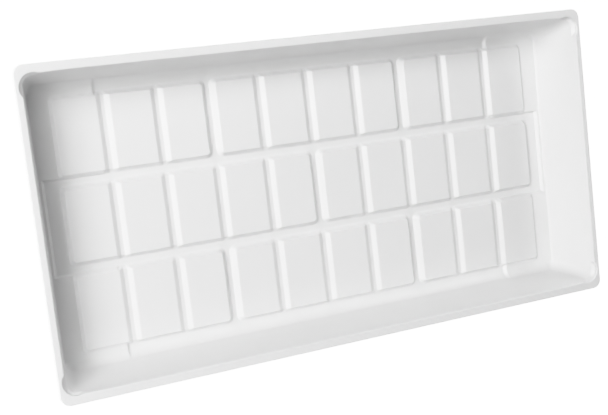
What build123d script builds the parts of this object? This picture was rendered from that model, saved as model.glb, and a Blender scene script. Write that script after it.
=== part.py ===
from build123d import *
import os

# Propagation tray, one thermoformed sheet, modelled as its formed regions.
# Frame: +X along the length, +Y to the back, +Z up, origin under the middle of the floor.

# Driving dimensions, millimetres
TRAY_LENGTH = 546.0
TRAY_WIDTH = 279.0
TRAY_HEIGHT = 60.0
SHEET = 1.2

# Rim: a flat flange with a lip turned down along its outer edge
RIM_END = 6.0
RIM_SIDE = 8.0
RIM_CORNER_RADIUS = 8.5
LIP_DROP = 6.0
LIP_FLARE = 0.3
RIM_EDGE_ROUND = 0.8

# Cavity: tapered walls down to the floor
FLOOR_HALF_LENGTH = 256.3
FLOOR_HALF_WIDTH = 122.3
CAVITY_TOP_RADIUS = 9.0
CAVITY_FLOOR_RADIUS = 5.0

# Round pocket in the top of each corner, with a shallow ledge that stops nested trays jamming
POCKET_X = 257.5
POCKET_Y = 120.0
POCKET_RADIUS = 11.7
POCKET_DEPTH = 3.0

# Raised floor pads, in rows, with grooves between pads and channels between blocks
PAD_COUNT = 10
PAD_PITCH = 48.17
GROOVE_WIDTH = 11.5
CROSS_CHANNEL_WIDTH = 13.8
PAD_ARRAY_HALF_LENGTH = 236.0
OUTER_ROW = (44.25, 108.7)
MIDDLE_ROW = (-31.8, 31.8)

# Levels above the channel floor, and how far each slope runs outwards as it goes down
LAND_RISE = 2.7
PAD_RISE = 3.0
PAD_RUN_X = 3.1
PAD_RUN_Y = 2.3
LAND_RUN_X = 1.5
LAND_RUN_Y = 1.6
CORNER_LAND_EDGE = 199.8
CORNER_LAND_RUN = 3.7
END_LAND_EDGE = 253.9
END_LAND_RUN = 2.5

# Where the walls are divided from the corner posts
POST_START_X = 242.0
POST_START_Y = 104.0

# Derived sizes
LAND_TOP = SHEET + LAND_RISE
PAD_TOP = LAND_TOP + PAD_RISE
FOOT_RUN_X = PAD_RUN_X + LAND_RUN_X
FOOT_RUN_Y = PAD_RUN_Y + LAND_RUN_Y
CAVITY_HALF_LENGTH = TRAY_LENGTH / 2 - RIM_END
CAVITY_HALF_WIDTH = TRAY_WIDTH / 2 - RIM_SIDE
CHANNEL_FOOT_X = FOOT_RUN_X - CROSS_CHANNEL_WIDTH / 2
ROW_INNER_FOOT = OUTER_ROW[0] - FOOT_RUN_Y
ROW_OUTER_FOOT = OUTER_ROW[1] + FOOT_RUN_Y
MIDDLE_FOOT = MIDDLE_ROW[1] + FOOT_RUN_Y
ARRAY_FOOT = PAD_ARRAY_HALF_LENGTH + FOOT_RUN_X
CORNER_LAND_FOOT = CORNER_LAND_EDGE - CORNER_LAND_RUN
REACH = 40.0
CUT_OVER = 1.0


def slab(x0, x1, y0, y1, z0, z1):
    """Upright box between two opposite corners."""
    centre = Pos((x0 + x1) / 2, (y0 + y1) / 2, (z0 + z1) / 2)
    return centre * Box(x1 - x0, y1 - y0, z1 - z0)


def mesa(base, top, z0, z1):
    """Straight-sided raised area. base and top are (x0, x1, y0, y1) at heights z0 and z1."""
    outlines = []
    for (x0, x1, y0, y1), z in ((base, z0), (top, z1)):
        outlines.append(Pos((x0 + x1) / 2, (y0 + y1) / 2, z) * Rectangle(x1 - x0, y1 - y0))
    return loft(outlines, ruled=True)


def tapered_block(sections):
    """Rounded rectangular block through (half length, half width, radius, height) sections."""
    outlines = []
    for half_length, half_width, radius, z in sections:
        outlines.append(Pos(0, 0, z) * RectangleRounded(2 * half_length, 2 * half_width, radius))
    return loft(outlines, ruled=True)


def grown(rect, left, right, front, back):
    x0, x1, y0, y1 = rect
    return (x0 - left, x1 + right, y0 - front, y1 + back)


def mirrored(rect, flip_x, flip_y):
    x0, x1, y0, y1 = rect
    if flip_x:
        x0, x1 = -x1, -x0
    if flip_y:
        y0, y1 = -y1, -y0
    return (x0, x1, y0, y1)


# Blocks of pads: each row is divided by wide channels after these pads
ROWS = {
    "back": (OUTER_ROW, (3, 7)),
    "middle": (MIDDLE_ROW, (5,)),
    "front": ((-OUTER_ROW[1], -OUTER_ROW[0]), (3, 7)),
}
BLOCK_NAMES = {3: ("left", "centre", "right"), 2: ("left", "right")}


def pad_blocks():
    """Name of each block -> list of its pads' top outlines."""
    blocks = {}
    for row_name, ((y0, y1), cuts) in ROWS.items():
        block_sides = BLOCK_NAMES[len(cuts) + 1]
        for pad in range(PAD_COUNT):
            edges = []
            for side, joint in ((-1, pad), (1, pad + 1)):
                if joint in (0, PAD_COUNT):
                    edges.append(side * PAD_ARRAY_HALF_LENGTH)
                else:
                    gap = CROSS_CHANNEL_WIDTH if joint in cuts else GROOVE_WIDTH
                    edges.append((joint - PAD_COUNT / 2) * PAD_PITCH - side * gap / 2)
            block_index = sum(1 for cut in cuts if pad >= cut)
            name = f"{row_name}_{block_sides[block_index]}_block"
            blocks.setdefault(name, []).append((edges[0], edges[1], y0, y1))
    return blocks


def block_outline(pads):
    return (pads[0][0], pads[-1][1], pads[0][2], pads[0][3])


def block_relief(pads, lower):
    """Land and pads of one block, as a solid, moved down by lower."""
    outline = block_outline(pads)
    base = grown(outline, FOOT_RUN_X, FOOT_RUN_X, FOOT_RUN_Y, FOOT_RUN_Y)
    shoulder = grown(outline, PAD_RUN_X, PAD_RUN_X, PAD_RUN_Y, PAD_RUN_Y)
    relief = mesa(base, shoulder, SHEET - lower, LAND_TOP - lower)
    for pad in pads:
        foot = grown(pad, PAD_RUN_X, PAD_RUN_X, PAD_RUN_Y, PAD_RUN_Y)
        relief += mesa(foot, pad, LAND_TOP - lower, PAD_TOP - lower)
    return relief


def corner_land(flip_x, flip_y, lower):
    """Raised floor around a corner pad, running out past the walls, moved down by lower."""
    far_x = TRAY_LENGTH / 2 + REACH
    far_y = TRAY_WIDTH / 2 + REACH
    base = (CORNER_LAND_FOOT, far_x, ROW_INNER_FOOT, far_y)
    top = (CORNER_LAND_EDGE, far_x, ROW_INNER_FOOT + LAND_RUN_Y, far_y)
    return mesa(
        mirrored(base, flip_x, flip_y),
        mirrored(top, flip_x, flip_y),
        SHEET - lower,
        LAND_TOP - lower,
    )


def end_land(flip_x, lower):
    """Narrow raised strip along the foot of an end wall, between the corner lands, moved down by lower."""
    far_x = TRAY_LENGTH / 2 + REACH
    half_width = ROW_INNER_FOOT + LAND_RUN_Y
    base = (END_LAND_EDGE - END_LAND_RUN, far_x, -half_width, half_width)
    top = (END_LAND_EDGE, far_x, -half_width, half_width)
    return mesa(
        mirrored(base, flip_x, False),
        mirrored(top, flip_x, False),
        SHEET - lower,
        LAND_TOP - lower,
    )


CORNERS = {
    "back_left": (True, False),
    "back_right": (False, False),
    "front_left": (True, True),
    "front_right": (False, True),
}


def floor_lands(lower):
    """The corner lands and the end lands, moved down by lower."""
    lands = Part()
    for flip_x, flip_y in CORNERS.values():
        lands += corner_land(flip_x, flip_y, lower)
    for flip_x in (True, False):
        lands += end_land(flip_x, lower)
    return lands


def wall_slopes():
    """Outward run of the end and side walls for each millimetre of height."""
    height = TRAY_HEIGHT - SHEET
    return (
        (CAVITY_HALF_LENGTH - FLOOR_HALF_LENGTH) / height,
        (CAVITY_HALF_WIDTH - FLOOR_HALF_WIDTH) / height,
    )


def cavity():
    """Space inside the tray, carried on a little above the rim."""
    end_slope, side_slope = wall_slopes()
    return tapered_block([
        (FLOOR_HALF_LENGTH, FLOOR_HALF_WIDTH, CAVITY_FLOOR_RADIUS, SHEET),
        (
            CAVITY_HALF_LENGTH + CUT_OVER * end_slope,
            CAVITY_HALF_WIDTH + CUT_OVER * side_slope,
            CAVITY_TOP_RADIUS,
            TRAY_HEIGHT + CUT_OVER,
        ),
    ])


def tub_outside():
    """Outer shape of floor and walls, up to the underside of the rim."""
    end_slope, side_slope = wall_slopes()
    rise = TRAY_HEIGHT - 2 * SHEET
    return tapered_block([
        (
            FLOOR_HALF_LENGTH - end_slope * SHEET + SHEET,
            FLOOR_HALF_WIDTH - side_slope * SHEET + SHEET,
            CAVITY_FLOOR_RADIUS + SHEET,
            0.0,
        ),
        (
            FLOOR_HALF_LENGTH + end_slope * rise + SHEET,
            FLOOR_HALF_WIDTH + side_slope * rise + SHEET,
            CAVITY_TOP_RADIUS + SHEET,
            TRAY_HEIGHT - SHEET,
        ),
    ])


def pockets(radius, z0, z1):
    """A round column at each corner."""
    columns = Part()
    for sx in (-1, 1):
        for sy in (-1, 1):
            place = Pos(sx * POCKET_X, sy * POCKET_Y, (z0 + z1) / 2)
            columns += place * Cylinder(radius, z1 - z0)
    return columns


def build_rim(hollow):
    """Flange and turned-down lip, with the mouth of the tray cut out."""
    half_length = TRAY_LENGTH / 2
    half_width = TRAY_WIDTH / 2
    lip_foot = TRAY_HEIGHT - LIP_DROP
    outside = tapered_block([
        (half_length, half_width, RIM_CORNER_RADIUS, lip_foot),
        (half_length - LIP_FLARE, half_width - LIP_FLARE, RIM_CORNER_RADIUS, TRAY_HEIGHT),
    ])
    outside = fillet(outside.faces().sort_by(Axis.Z)[-1].edges(), RIM_EDGE_ROUND)
    inside = tapered_block([
        (half_length - SHEET, half_width - SHEET, RIM_CORNER_RADIUS - SHEET, lip_foot),
        (
            half_length - SHEET - LIP_FLARE,
            half_width - SHEET - LIP_FLARE,
            RIM_CORNER_RADIUS - SHEET,
            TRAY_HEIGHT - SHEET,
        ),
    ])
    return outside - inside - hollow


def rim_side(rim, along_x, sign):
    """One side of the rim, mitred at the outer corners."""
    half_length = TRAY_LENGTH / 2
    half_width = TRAY_WIDTH / 2
    if along_x:
        corners = [
            (-half_length - REACH, sign * (half_width + REACH)),
            (half_length + REACH, sign * (half_width + REACH)),
            (half_length - REACH, sign * (half_width - REACH)),
            (-half_length + REACH, sign * (half_width - REACH)),
        ]
    else:
        corners = [
            (sign * (half_length + REACH), -half_width - REACH),
            (sign * (half_length + REACH), half_width + REACH),
            (sign * (half_length - REACH), half_width - REACH),
            (sign * (half_length - REACH), -half_width + REACH),
        ]
    wedge = extrude(make_face(Polyline(*corners, close=True)), 2 * TRAY_HEIGHT, dir=(0, 0, 1))
    return rim & wedge


def build_tub(hollow, blocks):
    """Walls, corner posts and floor as one sheet, before it is divided."""
    ledge_foot = TRAY_HEIGHT - POCKET_DEPTH - SHEET
    outside = tub_outside()
    tub = outside + pockets(POCKET_RADIUS + SHEET, ledge_foot, TRAY_HEIGHT - SHEET)
    tub = tub - hollow
    tub += floor_lands(0.0) & outside
    for pads in blocks.values():
        tub += block_relief(pads, 0.0)
    tub -= floor_lands(SHEET)
    for pads in blocks.values():
        tub -= block_relief(pads, SHEET)
    return tub


def floor_prism():
    """Plan of the floor inside the walls, tall enough to hold the pads."""
    outline = RectangleRounded(2 * FLOOR_HALF_LENGTH, 2 * FLOOR_HALF_WIDTH, CAVITY_FLOOR_RADIUS)
    return extrude(outline, 2 * PAD_TOP)


def plan_cut(solid, rects):
    """Part of a solid that stands on the given (x0, x1, y0, y1) areas."""
    region = Part()
    for x0, x1, y0, y1 in rects:
        region += slab(x0, x1, y0, y1, 0.0, TRAY_HEIGHT)
    return solid & region


def block_area(name, pads):
    """Floor area of a block; an outer corner block takes its raised surround out to the walls."""
    area = grown(block_outline(pads), FOOT_RUN_X, FOOT_RUN_X, FOOT_RUN_Y, FOOT_RUN_Y)
    corner = name.removesuffix("_block")
    if corner not in CORNERS:
        return [area]
    flip_x, flip_y = CORNERS[corner]
    inner_x = 2 * PAD_PITCH - CHANNEL_FOOT_X
    main = (inner_x, FLOOR_HALF_LENGTH, ROW_INNER_FOOT, ROW_OUTER_FOOT)
    margin = (CORNER_LAND_FOOT, FLOOR_HALF_LENGTH, ROW_OUTER_FOOT, FLOOR_HALF_WIDTH)
    return [mirrored(main, flip_x, flip_y), mirrored(margin, flip_x, flip_y)]


def channel_areas():
    """Name of each flat channel or gutter -> the floor area it takes."""
    areas = {
        "back_long_channel": (-ARRAY_FOOT, ARRAY_FOOT, MIDDLE_FOOT, ROW_INNER_FOOT),
        "front_long_channel": (-ARRAY_FOOT, ARRAY_FOOT, -ROW_INNER_FOOT, -MIDDLE_FOOT),
        "left_gutter": (-FLOOR_HALF_LENGTH, -ARRAY_FOOT, -ROW_INNER_FOOT, ROW_INNER_FOOT),
        "right_gutter": (ARRAY_FOOT, FLOOR_HALF_LENGTH, -ROW_INNER_FOOT, ROW_INNER_FOOT),
        "middle_cross_channel": (CHANNEL_FOOT_X, -CHANNEL_FOOT_X, -MIDDLE_FOOT, MIDDLE_FOOT),
    }
    gutter = (-CORNER_LAND_FOOT, CORNER_LAND_FOOT, ROW_OUTER_FOOT, FLOOR_HALF_WIDTH)
    cross = (
        2 * PAD_PITCH + CHANNEL_FOOT_X,
        2 * PAD_PITCH - CHANNEL_FOOT_X,
        ROW_INNER_FOOT,
        ROW_OUTER_FOOT,
    )
    for row_name, flip_y in (("back", False), ("front", True)):
        areas[f"{row_name}_gutter"] = mirrored(gutter, False, flip_y)
        for side, flip_x in (("left", True), ("right", False)):
            areas[f"{row_name}_{side}_cross_channel"] = mirrored(cross, flip_x, flip_y)
    return areas


def wall_areas():
    """Name of each wall and corner post -> the plan area it stands in."""
    far_x = TRAY_LENGTH / 2
    far_y = TRAY_WIDTH / 2
    areas = {
        "back_wall": (-POST_START_X, POST_START_X, 0.0, far_y),
        "front_wall": (-POST_START_X, POST_START_X, -far_y, 0.0),
        "left_wall": (-far_x, 0.0, -POST_START_Y, POST_START_Y),
        "right_wall": (0.0, far_x, -POST_START_Y, POST_START_Y),
    }
    for corner, (flip_x, flip_y) in CORNERS.items():
        post = mirrored((POST_START_X, far_x, POST_START_Y, far_y), flip_x, flip_y)
        areas[f"{corner}_corner_post"] = post
    return areas


def build_nodes():
    blocks = pad_blocks()
    hollow = cavity() + pockets(POCKET_RADIUS, TRAY_HEIGHT - POCKET_DEPTH, TRAY_HEIGHT + CUT_OVER)
    rim = build_rim(hollow)
    tub = build_tub(hollow, blocks)
    inner_floor = floor_prism()
    floor = tub & inner_floor
    walls = tub - inner_floor
    nodes = {
        "back_rim": rim_side(rim, True, 1),
        "front_rim": rim_side(rim, True, -1),
        "left_rim": rim_side(rim, False, -1),
        "right_rim": rim_side(rim, False, 1),
    }
    for name, area in wall_areas().items():
        nodes[name] = plan_cut(walls, [area])
    for name, area in channel_areas().items():
        nodes[name] = plan_cut(floor, [area])
    for name, pads in blocks.items():
        nodes[name] = plan_cut(floor, block_area(name, pads))
    return nodes


if __name__ == "__main__":
    os.makedirs("parts", exist_ok=True)
    for node_name, node_shape in build_nodes().items():
        node_shape.label = node_name
        export_step(node_shape, f"parts/{node_name}.step")
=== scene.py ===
import math

import bpy
import numpy as np
from mathutils import Matrix, Vector


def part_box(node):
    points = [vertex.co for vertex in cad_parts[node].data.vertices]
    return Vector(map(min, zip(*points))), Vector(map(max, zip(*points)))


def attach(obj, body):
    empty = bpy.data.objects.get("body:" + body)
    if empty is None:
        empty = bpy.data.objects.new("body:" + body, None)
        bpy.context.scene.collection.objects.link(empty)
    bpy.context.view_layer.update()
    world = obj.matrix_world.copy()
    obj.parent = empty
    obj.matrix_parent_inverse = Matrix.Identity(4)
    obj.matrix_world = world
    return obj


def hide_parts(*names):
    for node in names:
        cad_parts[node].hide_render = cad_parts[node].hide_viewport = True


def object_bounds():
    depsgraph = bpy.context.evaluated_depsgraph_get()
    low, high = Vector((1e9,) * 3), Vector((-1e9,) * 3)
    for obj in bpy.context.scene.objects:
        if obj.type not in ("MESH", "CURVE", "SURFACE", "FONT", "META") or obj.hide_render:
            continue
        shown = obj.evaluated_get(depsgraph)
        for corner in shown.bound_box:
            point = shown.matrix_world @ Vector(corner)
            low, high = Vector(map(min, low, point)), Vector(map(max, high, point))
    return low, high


# One thermoformed tray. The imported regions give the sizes; this script forms the same sheet with its
# rounded edges, draws it as one continuous surface and cuts that surface into the same regions.
# Lengths are millimetres until a mesh is made.

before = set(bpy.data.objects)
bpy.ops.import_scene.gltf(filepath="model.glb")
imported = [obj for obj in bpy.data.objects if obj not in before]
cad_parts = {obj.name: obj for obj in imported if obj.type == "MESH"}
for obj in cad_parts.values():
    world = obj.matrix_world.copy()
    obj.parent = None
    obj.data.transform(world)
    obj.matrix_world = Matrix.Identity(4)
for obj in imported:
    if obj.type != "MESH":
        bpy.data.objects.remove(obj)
cad_low, cad_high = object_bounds()
MM = 0.001

# Keeps a divisor away from zero
TINY = 1e-12


def box_mm(node):
    """Low and high corner of a packed region's box, in millimetres."""
    low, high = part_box(node)
    return np.array(low) / MM, np.array(high) / MM


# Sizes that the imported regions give. The middle of a right-hand cross channel is two pads from the centre.
HALF_LENGTH = cad_high.x / MM
HALF_WIDTH = cad_high.y / MM
HEIGHT = cad_high.z / MM
SHEET = box_mm("middle_cross_channel")[1][2]
FLOOR_X = box_mm("right_gutter")[1][0]
FLOOR_Y = box_mm("back_gutter")[1][1]
ARRAY_FOOT = box_mm("right_gutter")[0][0]
LAND_FOOT_X = box_mm("back_gutter")[1][0]
OUTER_ROW_FEET = (box_mm("right_gutter")[1][1], box_mm("back_gutter")[0][1])
MIDDLE_FOOT = box_mm("middle_right_block")[1][1]
CHANNEL_HALF = box_mm("middle_cross_channel")[1][0]
PAD_PITCH = sum(box[0] for box in box_mm("back_right_cross_channel")) / 4
PAD_TOP = box_mm("middle_right_block")[1][2]
POST_X = box_mm("back_wall")[1][0]
POST_Y = box_mm("right_wall")[1][1]
LIP_FOOT = box_mm("back_rim")[0][2]

# Relief: pads stand on lands. Sides that face along the tray are straight. Sides that face across it are
# steep at the top and flatten out towards the foot, as are those of the corner lands.
# A run is how far a side reaches outwards, along the length and along the width.
PAD_RISE = 3.0
LAND_RISE = PAD_TOP - PAD_RISE - SHEET
BLOCK_RUN = (4.2, 3.9)
GROOVE_RUN = 4.1
ROW_END_RUN = 2.6
ROW_END_SETBACK = 4.3
CORNER_LAND_RUN = 3.7
CORNER_LAND_SIDE_RUN = 1.6
END_LAND_EDGE = 253.9
END_LAND_RUN = 2.5
PAD_COUNT = 10
GROOVE_WIDTH = 11.5  # between the top edges of two pads

# Cross channels come after these pads, counted from the left
OUTER_ROW_CUTS = (3, 7)
MIDDLE_ROW_CUTS = (5,)

# How far each bend is rounded to either side, and the radius of the blocks' corners, as shares of a run
EDGE_ROUND = 0.12
TOP_ROUND = 0.11
FOOT_ROUND = 0.14
BLOCK_CORNER = 0.7

# Cavity and rim
FLOOR_RADIUS = 9.2
END_RIM_WIDTH = 6.0
SIDE_RIM_WIDTH = 8.0
MOUTH_X = HALF_LENGTH - END_RIM_WIDTH
MOUTH_Y = HALF_WIDTH - SIDE_RIM_WIDTH
MOUTH_RADIUS = 9.0
END_FILLET = 1.6
SIDE_FILLET = 9.4
MOUTH_ROUND = 1.4
RIM_ROUND = 0.8
RIM_RADIUS = 8.5
LIP_FLARE = 0.3
LIP_END_ROUND = 0.4
POCKET_X = 257.5
POCKET_Y = 120.0
POCKET_RADIUS = 11.7

# The long walls bend in a little at the mouth, near the corners
MOUTH_BEND = 1.2
MOUTH_BEND_START = 232.0

CROSS_WIDTH = 2 * (CHANNEL_HALF + BLOCK_RUN[0])
OUTER_ROW = (OUTER_ROW_FEET[0] + BLOCK_RUN[1], OUTER_ROW_FEET[1] - BLOCK_RUN[1])
MIDDLE_EDGE = MIDDLE_FOOT - BLOCK_RUN[1]
ARRAY_EDGE = ARRAY_FOOT - ROW_END_SETBACK
ROWS = {
    "back": (OUTER_ROW, OUTER_ROW_CUTS),
    "middle": ((-MIDDLE_EDGE, MIDDLE_EDGE), MIDDLE_ROW_CUTS),
    "front": ((-OUTER_ROW[1], -OUTER_ROW[0]), OUTER_ROW_CUTS),
}


# ---------------------------------------------------------------- floor relief

def row_pads(cuts):
    """(low x, high x, starts a block, ends a block) of each pad in a row."""
    pads = []
    for pad in range(PAD_COUNT):
        edges = []
        ends = []
        for side, joint in ((-1, pad), (1, pad + 1)):
            outermost = joint in (0, PAD_COUNT)
            ends.append(outermost or joint in cuts)
            if outermost:
                edges.append(side * ARRAY_EDGE)
            else:
                gap = CROSS_WIDTH if joint in cuts else GROOVE_WIDTH
                edges.append((joint - PAD_COUNT / 2) * PAD_PITCH - side * gap / 2)
        pads.append((edges[0], edges[1], ends[0], ends[1]))
    return pads


def row_blocks(pads):
    """(low x, high x) of each run of pads between cross channels."""
    starts = [pad[0] for pad in pads if pad[2]]
    stops = [pad[1] for pad in pads if pad[3]]
    return list(zip(starts, stops))


def soft_ramp(t, blend):
    """Zero below 0 and t above it, with the bend spread over blend each side."""
    curve = (t + blend) ** 2 / (4 * blend)
    return np.where(t < -blend, 0.0, np.where(t > blend, t, curve))


def plateau(t):
    """One where t is below 0, falling steeply at first and levelling out to zero at 1."""
    return 1.0 - 2.0 * soft_ramp(t, EDGE_ROUND) + np.maximum(t, 0.0) ** 2 - np.maximum(t - 1.0, 0.0) ** 2


def straight_side(t):
    """One where t is below 0, falling evenly to zero at 1, with its two bends rounded."""
    return 1.0 - soft_ramp(t, TOP_ROUND) + soft_ramp(t - 1.0, FOOT_ROUND)


def formed_side(t, straightness):
    """A side between the two shapes above, straighter as straightness goes from 0 to 1."""
    return plateau(t) * (1.0 - straightness) + straight_side(t) * straightness


def block_height(x, y, x_range, y_range):
    """Share of full height at each point in and around one block."""
    centre = sum(x_range) / 2
    row_end = np.where(x > centre, x_range[1] == ARRAY_EDGE, x_range[0] == -ARRAY_EDGE)
    run = np.where(row_end, ROW_END_RUN, BLOCK_RUN[0])
    tx = (np.abs(x - centre) - (x_range[1] - x_range[0]) / 2) / run + BLOCK_CORNER
    ty = (np.abs(y - sum(y_range) / 2) - (y_range[1] - y_range[0]) / 2) / BLOCK_RUN[1] + BLOCK_CORNER
    out_x = np.maximum(tx, 0.0)
    out_y = np.maximum(ty, 0.0)
    steps = np.hypot(out_x, out_y) + np.minimum(np.maximum(tx, ty), 0.0) - BLOCK_CORNER
    faces_along = out_x ** 2 / np.maximum(out_x ** 2 + out_y ** 2, TINY)
    return formed_side(steps, faces_along)


def floor_height(x, y):
    """Height of the floor's upper face."""
    land = np.zeros_like(x)
    pads_up = np.zeros_like(x)
    for y_range, cuts in ROWS.values():
        pads = row_pads(cuts)
        for x_range in row_blocks(pads):
            block = block_height(x, y, x_range, y_range)
            land = np.maximum(land, block)
            grooves = np.ones_like(x)
            inner = [pad for pad in pads if x_range[0] <= pad[0] and pad[1] < x_range[1]]
            for pad in inner:
                centre = pad[1] + GROOVE_WIDTH / 2
                from_edge = (GROOVE_WIDTH / 2 - np.abs(x - centre)) / GROOVE_RUN
                grooves = np.minimum(grooves, straight_side(from_edge))
            pads_up = np.maximum(pads_up, np.minimum(block, grooves))
    from_x = (LAND_FOOT_X + CORNER_LAND_RUN - np.abs(x)) / CORNER_LAND_RUN
    from_y = (OUTER_ROW_FEET[0] + CORNER_LAND_SIDE_RUN - np.abs(y)) / CORNER_LAND_SIDE_RUN
    land = np.maximum(land, plateau(np.maximum(from_x, from_y)))
    land = np.maximum(land, straight_side((END_LAND_EDGE - np.abs(x)) / END_LAND_RUN))
    return SHEET + LAND_RISE * land + PAD_RISE * pads_up


# Where grid lines lie: on the flat before a side's top edge, in millimetres, and across the side, as shares
# of its run from that edge
LEAD_IN = (3.2, 2.2, 1.4)
CURVED_SHARES = (-0.24, -0.12, -0.06, 0.0, 0.06, 0.12, 0.18, 0.27, 0.38, 0.52, 0.68, 0.84, 1.0, 1.15)
STRAIGHT_SHARES = (-0.24, -0.14, -0.07, 0.0, 0.07, 0.14, 0.24, 0.38, 0.6, 0.82, 0.91, 1.0, 1.09, 1.18, 1.28)

# Grid lines nearer than the merge gap become one, and spans longer than the longest are divided
MERGE_GAP_X = 0.3
MERGE_GAP_Y = 0.25
LONGEST_SPAN = 9.0

# Evenly spaced grid lines along the rim of the floor's core: how many, and how far apart
END_LINES = (7, 0.5)
SIDE_LINES = (11, 0.7)


def slope_lines(edge, outward, run, shares):
    """Grid lines across one side that goes down from edge in the outward direction."""
    lines = [edge - outward * back for back in LEAD_IN]
    lines.extend(edge + outward * share * run for share in shares)
    return lines


def spaced(values, limit, gap):
    """Sorted lines within -limit..limit, those nearer than gap merged, long spans divided."""
    fixed = [value for value in values if -limit < value < limit] + [-limit, limit]
    lines = []
    for value in sorted(fixed):
        if not lines or value - lines[-1] > gap:
            lines.append(value)
    lines[-1] = limit
    filled = []
    for low, high in zip(lines[:-1], lines[1:]):
        parts = math.ceil((high - low) / LONGEST_SPAN)
        filled.extend(low + (high - low) * part / parts for part in range(parts))
    return np.array(filled + [limit])


def with_boundaries(lines, boundaries):
    """Lines with the nearest one moved exactly onto each region boundary."""
    for boundary in boundaries:
        lines[np.argmin(np.abs(lines - boundary))] = boundary
    return lines


def grid_lines():
    """Grid lines of the flat core of the floor, dense across every slope."""
    core_x = FLOOR_X - FLOOR_RADIUS
    core_y = FLOOR_Y - FLOOR_RADIUS
    x_lines = []
    y_lines = []
    for y_range, cuts in ROWS.values():
        for side in (0, 1):
            y_lines.extend(slope_lines(y_range[side], (-1, 1)[side], BLOCK_RUN[1], CURVED_SHARES))
        for x0, x1, starts, ends in row_pads(cuts):
            for edge, outward, at_end in ((x0, -1, starts), (x1, 1, ends)):
                if abs(edge) == ARRAY_EDGE:
                    run = ROW_END_RUN
                else:
                    run = BLOCK_RUN[0] if at_end else GROOVE_RUN
                x_lines.extend(slope_lines(edge, outward, run, STRAIGHT_SHARES))
    x_cuts = [POST_X, LAND_FOOT_X, ARRAY_FOOT, CHANNEL_HALF]
    for side in (-1, 1):
        land_edge = side * (LAND_FOOT_X + CORNER_LAND_RUN)
        x_lines.extend(slope_lines(land_edge, -side, CORNER_LAND_RUN, CURVED_SHARES))
        x_lines.extend(side * (core_x - step * END_LINES[1]) for step in range(1, END_LINES[0] + 1))
        y_lines.extend(side * (core_y - step * SIDE_LINES[1]) for step in range(1, SIDE_LINES[0] + 1))
        x_cuts.append(2 * PAD_PITCH + side * CHANNEL_HALF)
    y_cuts = [POST_Y, MIDDLE_FOOT, OUTER_ROW_FEET[0], OUTER_ROW_FEET[1]]
    x_lines = with_boundaries(spaced(x_lines, core_x, MERGE_GAP_X), x_cuts + [-cut for cut in x_cuts])
    y_lines = with_boundaries(spaced(y_lines, core_y, MERGE_GAP_Y), y_cuts + [-cut for cut in y_cuts])
    return x_lines, y_lines


# ---------------------------------------------------------------- walls and rim

class Perimeter:
    """Stations round the floor core, anticlockwise from its front left corner."""

    def __init__(self, x_lines, y_lines, arc_parts):
        columns = len(x_lines)
        rows = len(y_lines)
        entries = []
        for column in range(columns):
            entries.append((column, 0, -90.0))
        self._corner(entries, columns - 1, 0, -90.0, arc_parts)
        for row in range(rows):
            entries.append((columns - 1, row, 0.0))
        self._corner(entries, columns - 1, rows - 1, 0.0, arc_parts)
        for column in reversed(range(columns)):
            entries.append((column, rows - 1, 90.0))
        self._corner(entries, 0, rows - 1, 90.0, arc_parts)
        for row in reversed(range(rows)):
            entries.append((0, row, 180.0))
        self._corner(entries, 0, 0, 180.0, arc_parts)
        column, row, degrees = np.array(entries).T
        self.core = (row * columns + column).astype(int)
        self.base = np.stack([x_lines[column.astype(int)], y_lines[row.astype(int)]], axis=1)
        angle = np.radians(degrees)
        self.normal = np.stack([np.cos(angle), np.sin(angle)], axis=1)
        self.core_end = (x_lines[-1], y_lines[-1])

    @staticmethod
    def _corner(entries, column, row, start, parts):
        """Adds the stations that turn a corner of the core from one side to the next."""
        for part in range(1, parts):
            entries.append((column, row, start + 90.0 * part / parts))

    def outline(self, centre_x, centre_y, radius):
        """Rounded rectangle whose corner arcs have their centre at (centre_x, centre_y)."""
        plan = np.empty_like(self.base)
        starts = (POST_X, POST_Y)
        for axis, centre in enumerate((centre_x, centre_y)):
            value = np.abs(self.base[:, axis])
            stretch = (centre - starts[axis]) / (self.core_end[axis] - starts[axis])
            moved = np.where(value < starts[axis], value, starts[axis] + (value - starts[axis]) * stretch)
            plan[:, axis] = np.sign(self.base[:, axis]) * moved
        return plan + self.normal * np.reshape(radius, (-1, 1))

    def wall(self, z):
        """Plan of the cavity wall at heights z, without its corner pockets."""
        share = np.broadcast_to((z - SHEET) / (HEIGHT - SHEET), self.core.shape)
        centre_x = self.core_end[0] + share * (MOUTH_X - MOUTH_RADIUS - self.core_end[0])
        centre_y = self.core_end[1] + share * (MOUTH_Y - MOUTH_RADIUS - self.core_end[1])
        radius = FLOOR_RADIUS + share * (MOUTH_RADIUS - FLOOR_RADIUS)
        plan = self.outline(centre_x, centre_y, radius)
        along = np.abs(plan[:, 0])
        bend = np.clip((along - MOUTH_BEND_START) / (MOUTH_X - MOUTH_BEND_START), 0.0, 1.0)
        inset = MOUTH_BEND * share * bend
        side_facing = self.normal[:, 1] ** 2
        return plan - self.normal * (inset * side_facing)[:, None]

    def pocket_reach(self, plan):
        """Distance outwards from each wall point to its pocket's round wall, 0 outside the pockets."""
        offset = plan - np.sign(plan) * (POCKET_X, POCKET_Y)
        along = np.sum(offset * self.normal, axis=1)
        inside = POCKET_RADIUS ** 2 - np.sum(offset * offset, axis=1)
        reach = np.sqrt(np.maximum(along ** 2 + inside, 0.0)) - along
        return np.where(inside > 0, reach, 0.0)


# Ledge of a corner pocket: (height, share of the way out to the round wall, back face's shift out and down)
LEDGE = (
    (54.20, 0.00, 0.90, 0.80),
    (54.55, 0.05, 0.85, 0.90),
    (55.10, 0.20, 0.80, 0.95),
    (56.00, 0.50, 0.80, 0.95),
    (56.90, 0.82, 0.85, 0.90),
    (57.40, 0.97, 0.90, 0.70),
    (57.90, 1.00, 1.00, 0.40),
)

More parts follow.
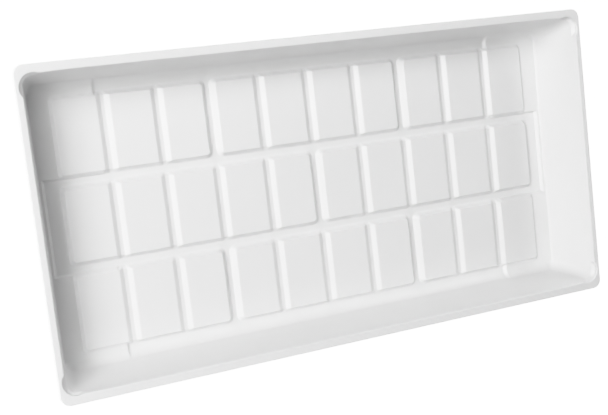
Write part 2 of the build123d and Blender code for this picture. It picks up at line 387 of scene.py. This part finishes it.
# How finely the shell is divided. The first rings of the fillet belong to the floor's regions.
ARC_PARTS = 22
FILLET_PARTS = 10
FLOOR_FILLET_PARTS = 6
WALL_PARTS = 7
ROUND_PARTS = 6
FLANGE_SHARES = (0.35, 0.7)
STRIP_MARGIN = 0.2

# The lip's cut edge: (how far each face tucks in, how high it is above the lip's foot)
LIP_EDGE = ((0.12, 0.12), (0.40, 0.0))


class Shell:
    """Upper and lower faces of the sheet, as matching vertex lists, and its faces by region."""

    def __init__(self):
        self.x_lines, self.y_lines = grid_lines()
        self.edge = Perimeter(self.x_lines, self.y_lines, ARC_PARTS)
        x, y = np.meshgrid(self.x_lines, self.y_lines)
        z = floor_height(x, y)
        self.upper = [np.stack([x.ravel(), y.ravel(), z.ravel()], axis=1)]
        self.lower = [self.upper[0] - (0.0, 0.0, SHEET)]
        self.rings = []
        self._floor_strip()
        self._walls()
        self._rim()

    def _ring(self, kind, plan, z, out, down):
        """Adds a ring, with its lower face so many sheet thicknesses out and down from the upper one."""
        height = np.broadcast_to(z, self.edge.core.shape)
        shift = self.edge.normal * np.reshape(out, (-1, 1)) * SHEET
        upper = np.column_stack([plan, height])
        self.upper.append(upper)
        self.lower.append(np.column_stack([plan + shift, height - SHEET * np.asarray(down)]))
        self.rings.append(kind)

    def _floor_strip(self):
        """Rings between the floor's core and the fillet, and the fillet's size at each station."""
        edge = self.edge
        self.foot_z = floor_height(*edge.wall(SHEET).T)
        self.slope = np.sum((edge.wall(HEIGHT) - edge.wall(self.foot_z)) * edge.normal, axis=1)
        self.slope = self.slope / (HEIGHT - self.foot_z)
        self.batter = np.arctan(self.slope)
        turn = math.pi / 2 - self.batter
        self.fillet = END_FILLET * edge.normal[:, 0] ** 2 + SIDE_FILLET * edge.normal[:, 1] ** 2
        self.fillet_reach = self.fillet * np.tan(turn / 2)
        start = edge.wall(self.foot_z) - edge.normal * self.fillet_reach[:, None]
        core_x = edge.core_end[0]
        start_x = np.max(start[:, 0])
        for line in sorted(slope_lines(END_LAND_EDGE, -1, END_LAND_RUN, STRAIGHT_SHARES)):
            if core_x + STRIP_MARGIN < line < start_x - STRIP_MARGIN:
                plan = edge.base + (start - edge.base) * (line - core_x) / (start_x - core_x)
                self._ring("floor", plan, floor_height(*plan.T), 0.0, 1.0)

    def _walls(self):
        """Rings up the fillet, the wall and the ledges of the corner pockets."""
        edge = self.edge
        for part in range(FILLET_PARTS + 1):
            angle = (math.pi / 2 - self.batter) * part / FILLET_PARTS
            rise = self.fillet * (1 - np.cos(angle))
            out = self.fillet * np.sin(angle) - self.fillet_reach - rise * self.slope
            plan = edge.wall(self.foot_z + rise) + edge.normal * out[:, None]
            kind = "wall" if part > FLOOR_FILLET_PARTS else "floor"
            self._ring(kind, plan, self.foot_z + rise, np.sin(angle), np.cos(angle))
        fillet_top = self.foot_z + self.fillet * (1 - np.sin(self.batter))
        for part in range(1, WALL_PARTS):
            z = fillet_top + (LEDGE[0][0] - fillet_top) * part / WALL_PARTS
            self._ring("wall", edge.wall(z), z, np.cos(self.batter), np.sin(self.batter))
        for z, share, out, down in LEDGE:
            plan = edge.wall(z)
            reach = share * edge.pocket_reach(plan)
            self._ring("wall", plan + edge.normal * reach[:, None], z, out, down)

    def _rim(self):
        """Rings over the mouth's rounded edge, across the flange and down the lip."""
        edge = self.edge
        mouth = edge.wall(HEIGHT)
        reach = edge.pocket_reach(mouth)
        lean = self.batter * np.clip(1 - 2 * reach, 0.0, 1.0)
        back = MOUTH_ROUND * np.tan((math.pi / 2 - lean) / 2)
        for part in range(ROUND_PARTS + 1):
            angle = lean + (math.pi / 2 - lean) * part / ROUND_PARTS
            out = reach + back - MOUTH_ROUND * np.cos(angle)
            plan = mouth + edge.normal * out[:, None]
            z = HEIGHT - MOUTH_ROUND * (1 - np.sin(angle))
            self._ring("rim", plan, z, np.cos(angle), np.sin(angle))
        flange_start = plan

        lip_slope = LIP_FLARE / (HEIGHT - LIP_FOOT)
        lip_lean = math.atan(lip_slope)
        turn = math.pi / 2 - lip_lean
        back = RIM_ROUND * math.tan(turn / 2)
        corner_x = HALF_LENGTH - LIP_FLARE - RIM_RADIUS
        corner_y = HALF_WIDTH - LIP_FLARE - RIM_RADIUS
        outer = edge.outline(corner_x, corner_y, RIM_RADIUS)
        flange_end = outer - edge.normal * back
        for share in FLANGE_SHARES:
            self._ring("rim", flange_start + (flange_end - flange_start) * share, HEIGHT, 0.0, 1.0)
        for part in range(ROUND_PARTS + 1):
            angle = turn * part / ROUND_PARTS
            plan = outer + edge.normal * (RIM_ROUND * math.sin(angle) - back)
            z = HEIGHT - RIM_ROUND * (1 - math.cos(angle))
            self._ring("rim", plan, z, -math.sin(angle), math.cos(angle))
        for share in (0.5, 1.0):
            z = z + (LIP_FOOT + LIP_END_ROUND - z) * share
            plan = outer + edge.normal * (HEIGHT - z) * lip_slope
            self._ring("rim", plan, z, -math.cos(lip_lean), math.sin(lip_lean))
        foot = outer + edge.normal * (HEIGHT - LIP_FOOT - LIP_END_ROUND) * lip_slope
        for tuck, raise_by in LIP_EDGE:
            width = SHEET - 2 * tuck
            self._ring("rim", foot - edge.normal * tuck, LIP_FOOT + raise_by, -width / SHEET, 0.0)

    def faces(self):
        """Region name -> its faces, as vertex numbers of the upper side, anticlockwise from above."""
        found = {}
        columns = len(self.x_lines)
        for row in range(len(self.y_lines) - 1):
            y = (self.y_lines[row] + self.y_lines[row + 1]) / 2
            for column in range(columns - 1):
                x = (self.x_lines[column] + self.x_lines[column + 1]) / 2
                first = row * columns + column
                quad = (first, first + 1, first + columns + 1, first + columns)
                found.setdefault(floor_region(x, y), []).append(quad)
        count = len(self.edge.core)
        core_size = columns * len(self.y_lines)
        inner = self.edge.core
        for number, kind in enumerate(self.rings):
            outer = core_size + number * count + np.arange(count)
            for here in range(count):
                there = (here + 1) % count
                face = [inner[here], outer[here], outer[there], inner[there]]
                if face[0] == face[3]:
                    face.pop()
                name = self._ring_region(kind, here, there)
                found.setdefault(name, []).append(tuple(int(v) for v in face))
            inner = outer
        return found

    def _ring_region(self, kind, here, there):
        """Name of the region that a face between two stations of a ring belongs to."""
        edge = self.edge
        x, y = (edge.base[here] + edge.base[there]) / 2
        facing = edge.normal[here] + edge.normal[there]
        if kind == "floor":
            return floor_region(x + facing[0], y + facing[1])
        end_facing = abs(facing[0]) > abs(facing[1])
        if end_facing:
            side = "right" if x > 0 else "left"
        else:
            side = "back" if y > 0 else "front"
        if kind == "rim":
            return f"{side}_rim"
        at_corner = abs(y) > POST_Y if end_facing else abs(x) > POST_X
        if at_corner:
            return f"{'back' if y > 0 else 'front'}_{'right' if x > 0 else 'left'}_corner_post"
        return f"{side}_wall"


def floor_region(x, y):
    """Name of the floor region at a point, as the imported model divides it."""
    length_side = "right" if x > 0 else "left"
    width_side = "back" if y > 0 else "front"
    across = abs(y)
    along = abs(x)
    if across < OUTER_ROW_FEET[0]:
        if along > ARRAY_FOOT:
            return f"{length_side}_gutter"
        if across > MIDDLE_FOOT:
            return f"{width_side}_long_channel"
        if along < CHANNEL_HALF:
            return "middle_cross_channel"
        return f"middle_{length_side}_block"
    if across > OUTER_ROW_FEET[1] and along < LAND_FOOT_X:
        return f"{width_side}_gutter"
    if across < OUTER_ROW_FEET[1] and abs(along - 2 * PAD_PITCH) < CHANNEL_HALF:
        return f"{width_side}_{length_side}_cross_channel"
    if along < 2 * PAD_PITCH:
        return f"{width_side}_centre_block"
    return f"{width_side}_{length_side}_block"


def vertex_normals(points, faces):
    """Area-weighted normals of a surface of quads and triangles."""
    quads = np.array([face if len(face) == 4 else face + face[-1:] for face in faces])
    corners = points[quads]
    area = np.cross(corners[:, 2] - corners[:, 0], corners[:, 3] - corners[:, 1])
    total = np.zeros_like(points)
    for corner in range(4):
        np.add.at(total, quads[:, corner], area)
    return total / np.linalg.norm(total, axis=1)[:, None]


def formed_piece(name, faces, upper, lower, upper_normals, lower_normals):
    """One region of the sheet as a closed mesh: its upper faces, its lower faces and the cut edges."""
    used = sorted({vertex for face in faces for vertex in face})
    place = {vertex: number for number, vertex in enumerate(used)}
    points = np.concatenate([upper[used], lower[used]]) * MM
    normals = np.concatenate([upper_normals[used], lower_normals[used]])
    under = len(used)
    surface = []
    for face in faces:
        surface.append([place[vertex] for vertex in face])
        surface.append([place[vertex] + under for vertex in reversed(face)])
    directed = set()
    for face in faces:
        directed.update(zip(face, face[1:] + face[:1]))
    cuts = []
    for start, stop in sorted(directed):
        if (stop, start) not in directed:
            a, b = place[start], place[stop]
            cuts.append([b, a, a + under, b + under])
    mesh = bpy.data.meshes.new(name)
    mesh.from_pydata(points.tolist(), [], surface + cuts)
    loop_normals = [normals[vertex] for face in surface for vertex in face]
    for cut in cuts:
        corners = points[cut]
        flat = np.cross(corners[2] - corners[0], corners[3] - corners[1])
        loop_normals.extend([flat / max(np.linalg.norm(flat), TINY)] * 4)
    mesh.polygons.foreach_set("use_smooth", [True] * len(mesh.polygons))
    mesh.normals_split_custom_set(loop_normals)
    piece = bpy.data.objects.new(name, mesh)
    bpy.context.scene.collection.objects.link(piece)
    return piece


# ---------------------------------------------------------------- materials

# Greys are linear. Scales are cells or waves to the metre. A noise's middle stretch is what a tone or a
# roughness varies over.
NOISE_LOW = 0.3
NOISE_HIGH = 0.7
PLASTIC_TONES = (0.888, 0.900)
PLASTIC_TONE_SCALE = 9.0
PLASTIC_ROUGHNESS = (0.29, 0.32)
PLASTIC_ROUGHNESS_SCALE = 40.0
PLASTIC_IOR = 1.5
SPECK_TONE = 0.58
SPECK_SCALE = 30.0
SPECK_INNER = 0.010
SPECK_OUTER = 0.018
SPECK_CHOSEN = (0.90, 0.91)
STREAK_SCALES = (6.0, 6.0, 150.0)
STREAK_DEPTH = 0.00004
GRAIN_SCALE = 260.0
GRAIN_DEPTH = 0.00002
FLOOR_TONES = (0.05, 0.07)
FLOOR_TONE_SCALE = 2.0
FLOOR_ROUGHNESS = 0.9


class Nodes:
    """A small helper for building a node tree."""

    def __init__(self, tree):
        self.tree = tree
        tree.nodes.clear()

    def add(self, kind, **settings):
        node = self.tree.nodes.new(kind)
        for key, value in settings.items():
            setattr(node, key, value)
        return node

    def link(self, source, target):
        self.tree.links.new(source, target)

    def noise(self, coordinate, scale, detail):
        node = self.add("ShaderNodeTexNoise")
        node.inputs["Scale"].default_value = scale
        node.inputs["Detail"].default_value = detail
        self.link(coordinate, node.inputs["Vector"])
        return node.outputs["Fac"]

    def mapped(self, source, low, high, new_low, new_high):
        node = self.add("ShaderNodeMapRange")
        node.inputs["From Min"].default_value = low
        node.inputs["From Max"].default_value = high
        node.inputs["To Min"].default_value = new_low
        node.inputs["To Max"].default_value = new_high
        self.link(source, node.inputs["Value"])
        return node.outputs["Result"]

    def varied(self, coordinate, scale, detail, low, high):
        """A value that wanders between low and high."""
        return self.mapped(self.noise(coordinate, scale, detail), NOISE_LOW, NOISE_HIGH, low, high)

    def stretched(self, coordinate, scale):
        node = self.add("ShaderNodeMapping")
        node.inputs["Scale"].default_value = scale
        self.link(coordinate, node.inputs["Vector"])
        return node.outputs["Vector"]

    def blend(self, factor, first, second):
        """Mixes two colours, each a grey or another node's output."""
        node = self.add("ShaderNodeMix", data_type="RGBA")
        self.link(factor, node.inputs["Factor"])
        for socket, colour in (("A", first), ("B", second)):
            target = next(s for s in node.inputs if s.name == socket and s.type == "RGBA")
            if isinstance(colour, float):
                target.default_value = (colour, colour, colour, 1.0)
            else:
                self.link(colour, target)
        return next(s for s in node.outputs if s.type == "RGBA")

    def bump(self, height, distance, under=None):
        node = self.add("ShaderNodeBump")
        node.inputs["Distance"].default_value = distance
        self.link(height, node.inputs["Height"])
        if under is not None:
            self.link(under, node.inputs["Normal"])
        return node.outputs["Normal"]


def dust_specks(nodes, place):
    """One in a few small round specks, 0 elsewhere."""
    cells = nodes.add("ShaderNodeTexVoronoi")
    cells.inputs["Scale"].default_value = SPECK_SCALE
    nodes.link(place, cells.inputs["Vector"])
    spot = nodes.mapped(cells.outputs["Distance"], SPECK_INNER, SPECK_OUTER, 1.0, 0.0)
    chosen = nodes.mapped(cells.outputs["Color"], *SPECK_CHOSEN, 0.0, 1.0)
    speck = nodes.add("ShaderNodeMath", operation="MULTIPLY")
    nodes.link(spot, speck.inputs[0])
    nodes.link(chosen, speck.inputs[1])
    return speck.outputs["Value"]


def plastic_material():
    """Satin white thermoformed sheet: faint tone drift, drawn streaks on the walls, a few dust specks."""
    material = bpy.data.materials.new("white_formed_plastic")
    material.use_nodes = True
    nodes = Nodes(material.node_tree)
    place = nodes.add("ShaderNodeTexCoord").outputs["Object"]
    drift = nodes.varied(place, PLASTIC_TONE_SCALE, 3.0, 0.0, 1.0)
    tone = nodes.blend(drift, *PLASTIC_TONES)
    colour = nodes.blend(dust_specks(nodes, place), tone, SPECK_TONE)
    roughness = nodes.varied(place, PLASTIC_ROUGHNESS_SCALE, 3.0, *PLASTIC_ROUGHNESS)
    streaks = nodes.noise(nodes.stretched(place, STREAK_SCALES), 1.0, 2.0)
    normal = nodes.bump(streaks, STREAK_DEPTH)
    normal = nodes.bump(nodes.noise(place, GRAIN_SCALE, 2.0), GRAIN_DEPTH, normal)

    shader = nodes.add("ShaderNodeBsdfPrincipled")
    shader.inputs["IOR"].default_value = PLASTIC_IOR
    nodes.link(colour, shader.inputs["Base Color"])
    nodes.link(roughness, shader.inputs["Roughness"])
    nodes.link(normal, shader.inputs["Normal"])
    output = nodes.add("ShaderNodeOutputMaterial")
    nodes.link(shader.outputs["BSDF"], output.inputs["Surface"])
    return material


def floor_material():
    """Bright white studio sweep, lit from within as a light table is."""
    material = bpy.data.materials.new("studio_floor_white")
    material.use_nodes = True
    nodes = Nodes(material.node_tree)
    place = nodes.add("ShaderNodeTexCoord").outputs["Object"]
    drift = nodes.varied(place, FLOOR_TONE_SCALE, 2.0, 0.0, 1.0)
    shader = nodes.add("ShaderNodeBsdfPrincipled")
    nodes.link(nodes.blend(drift, *FLOOR_TONES), shader.inputs["Base Color"])
    shader.inputs["Roughness"].default_value = FLOOR_ROUGHNESS
    shader.inputs["Emission Color"].default_value = (1.0, 1.0, 1.0, 1.0)
    shader.inputs["Emission Strength"].default_value = FLOOR_GLOW
    output = nodes.add("ShaderNodeOutputMaterial")
    nodes.link(shader.outputs["BSDF"], output.inputs["Surface"])
    return material


# ---------------------------------------------------------------- studio

# Lengths are metres from here on, but for the camera's lens and sensor, in millimetres
FLOOR_SIZE = 40.0
FLOOR_GAP = 0.0003
FLOOR_GLOW = 1.48
WORLD_STRENGTH = 0.01

# Tones: linear up to the knee, then levelling off to white in a curve of so many steps. The view's fourth
# curve is the one that acts on all three colours.
TONE_KNEE = 0.7
TONE_WHITE = 1.5
TONE_STEPS = 12
COMBINED_CURVE = 3

# Camera: the point of the pads' plane it looks at, then where it stands from there
AIM = Vector((-0.0179, -0.0167, 0.0069))
VIEW_AZIMUTH = -107.46
VIEW_ELEVATION = 66.12
VIEW_DISTANCE = 1.0036
VIEW_ROLL = 99.44
LENS = 63.54
SENSOR_WIDTH = 36.0
NEAREST = 0.01
FARTHEST = 100.0

# Soft boxes, all facing the tray from one distance. Name, compass angle from the left end round towards
# the back, angle above the floor, size in metres, power in watts.
SOFT_BOX_DISTANCE = 2.2
SOFT_BOXES = (
    ("key", 30, 45, 1.0, 23.1),
    ("key_high", 30, 60, 1.0, 6.7),
    ("high_left", 0, 60, 1.0, 6.3),
    ("left", 0, 30, 1.0, 4.0),
    ("front_left", -30, 45, 1.0, 5.1),
    ("low_front_left", -60, 30, 1.0, 6.0),
    ("low_back_right", 135, 20, 1.0, 7.0),
    ("low_right", 180, 20, 1.0, 5.0),
    ("low_front_right", 225, 20, 1.0, 3.0),
    ("back_right", 150, 35, 0.35, 3.8),
    ("high_back_right", 150, 65, 0.35, 1.1),
)


def add_camera():
    """The only camera, at the photograph's viewing angle."""
    azimuth = math.radians(VIEW_AZIMUTH)
    elevation = math.radians(VIEW_ELEVATION)
    flat = math.cos(elevation)
    back = Vector((math.sin(azimuth) * flat, -math.cos(azimuth) * flat, math.sin(elevation)))
    data = bpy.data.cameras.new("camera")
    data.sensor_width = SENSOR_WIDTH
    data.lens = LENS
    data.clip_start = NEAREST
    data.clip_end = FARTHEST
    camera = bpy.data.objects.new("camera", data)
    camera.rotation_mode = "QUATERNION"
    upright = (-back).to_track_quat("-Z", "Y").to_matrix().to_4x4()
    roll = Matrix.Rotation(math.radians(VIEW_ROLL), 4, "Z")
    camera.matrix_world = Matrix.Translation(AIM + back * VIEW_DISTANCE) @ upright @ roll
    bpy.context.scene.collection.objects.link(camera)
    bpy.context.scene.camera = camera


def add_soft_box(name, compass, height, size, power):
    """One square area light that faces the tray's middle."""
    data = bpy.data.lights.new(name, "AREA")
    data.shape = "SQUARE"
    data.size = size
    data.energy = power
    light = bpy.data.objects.new(name, data)
    turn = math.radians(compass)
    lift = math.radians(height)
    place = Vector((-math.cos(turn) * math.cos(lift), math.sin(turn) * math.cos(lift), math.sin(lift)))
    light.rotation_mode = "QUATERNION"
    light.location = place * SOFT_BOX_DISTANCE
    light.rotation_quaternion = (-place).to_track_quat("-Z", "Y")
    bpy.context.scene.collection.objects.link(light)


def add_floor():
    """A plain floor just below the tray."""
    mesh = bpy.data.meshes.new("studio_floor")
    reach = FLOOR_SIZE / 2
    below = cad_low.z - FLOOR_GAP
    plan = ((-reach, -reach), (reach, -reach), (reach, reach), (-reach, reach))
    corners = [(x, y, below) for x, y in plan]
    mesh.from_pydata(corners, [], [(0, 1, 2, 3)])
    floor = bpy.data.objects.new("studio_floor", mesh)
    mesh.materials.append(floor_material())
    bpy.context.scene.collection.objects.link(floor)


def add_world():
    """A faint even light from all round."""
    world = bpy.data.worlds.new("studio_world")
    bpy.context.scene.world = world
    world.use_nodes = True
    nodes = Nodes(world.node_tree)
    background = nodes.add("ShaderNodeBackground")
    background.inputs["Color"].default_value = (1.0, 1.0, 1.0, 1.0)
    background.inputs["Strength"].default_value = WORLD_STRENGTH
    output = nodes.add("ShaderNodeOutputWorld")
    nodes.link(background.outputs["Background"], output.inputs["Surface"])


def set_tone_response():
    """Plain tones that level off smoothly near white, as a camera's do."""
    view = bpy.context.scene.view_settings
    view.view_transform = "Standard"
    view.use_curve_mapping = True
    mapping = view.curve_mapping
    mapping.white_level = (TONE_WHITE, TONE_WHITE, TONE_WHITE)
    curve = mapping.curves[COMBINED_CURVE]
    room = 1.0 - TONE_KNEE
    full = 1.0 - math.exp(-(TONE_WHITE - TONE_KNEE) / room)
    curve.points.new(TONE_KNEE / TONE_WHITE, TONE_KNEE)
    for step in range(1, TONE_STEPS):
        beyond = (TONE_WHITE - TONE_KNEE) * step / TONE_STEPS
        level = TONE_KNEE + room * (1.0 - math.exp(-beyond / room)) / full
        curve.points.new((TONE_KNEE + beyond) / TONE_WHITE, level)
    for point in curve.points:
        point.handle_type = "VECTOR"
    mapping.update()


def build_tray():
    """Forms the sheet, cuts it into its regions and hands each one to the frame."""
    shell = Shell()
    upper = np.concatenate(shell.upper)
    lower = np.concatenate(shell.lower)
    regions = shell.faces()
    every_face = [face for faces in regions.values() for face in faces]
    upper_normals = vertex_normals(upper, every_face)
    lower_normals = -vertex_normals(lower, every_face)
    material = plastic_material()
    for node in sorted(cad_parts):
        faces = regions[node]
        piece = formed_piece(f"formed_{node}", faces, upper, lower, upper_normals, lower_normals)
        piece.data.materials.append(material)
        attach(piece, "root")
        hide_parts(node)


build_tray()
add_floor()
add_world()
for soft_box in SOFT_BOXES:
    add_soft_box(*soft_box)
add_camera()
set_tone_response()
